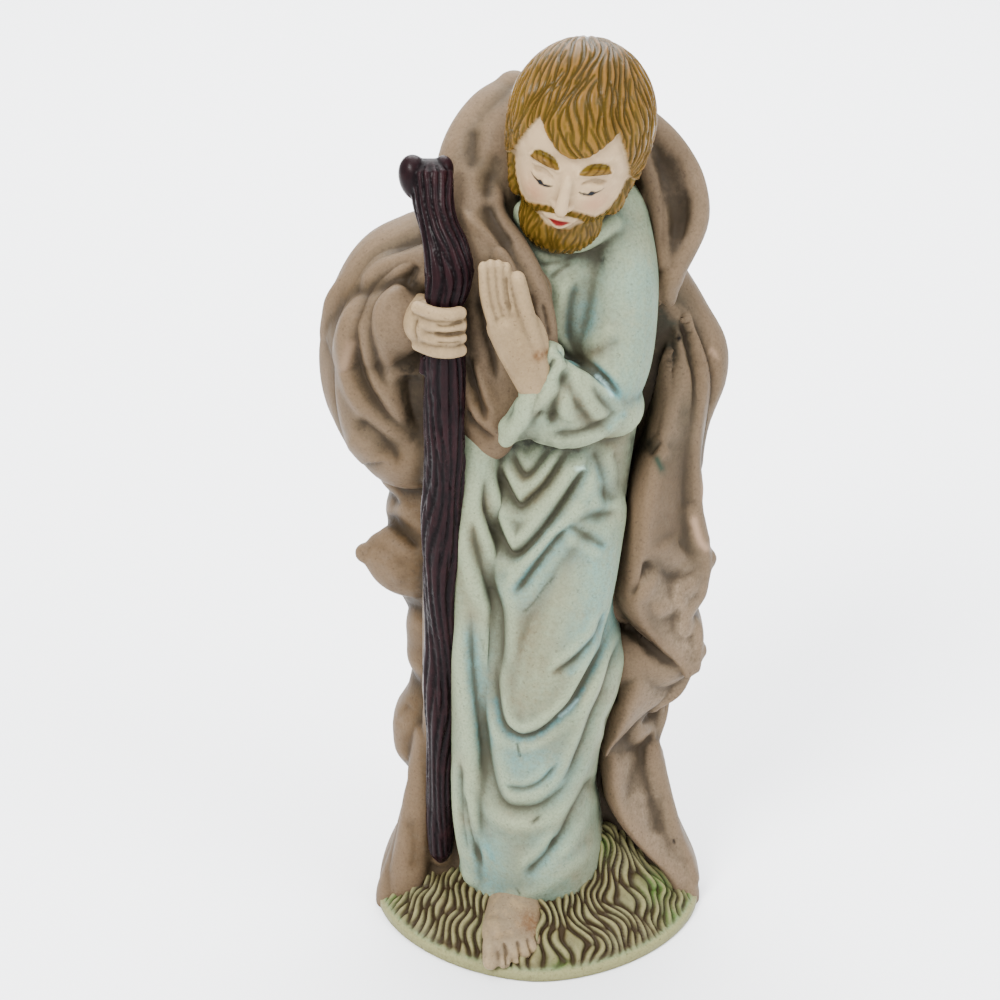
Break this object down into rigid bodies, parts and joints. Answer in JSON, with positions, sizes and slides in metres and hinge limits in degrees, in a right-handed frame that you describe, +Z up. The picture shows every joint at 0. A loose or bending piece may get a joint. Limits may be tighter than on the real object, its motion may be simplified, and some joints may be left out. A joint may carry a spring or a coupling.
{
  "type": "nativity figurine",
  "caption": "Painted bisque figurine of a standing bearded man in a robe and hooded cloak, holding a staff, on a low grassy mound.",
  "frame": {"origin": "middle of the bounding box on the floor plane that the figurine stands on", "axes": "+Z up to the crown of the head, -Y the way the figure faces, +X the viewer's right from the front"},
  "size_m": [0.0746, 0.0536, 0.18],
  "materials": {
    "painted_bisque": "matte taupe paint rubbed over unglazed bisque: the cloak and hood",
    "robe_paint": "pale green-grey wash with light blue in the folds, matte",
    "skin_paint": "cream paint, matte: face, hands and foot",
    "hair_paint": "golden brown paint with a low gloss: hair and beard",
    "staff_paint": "glossy dark purple-brown paint",
    "grass_paint": "pale green with brown rubbed into the hollows, matte"
  },
  "bodies": {
    "root": {"figurine": "painted_bisque"}
  },
  "joints": []
}
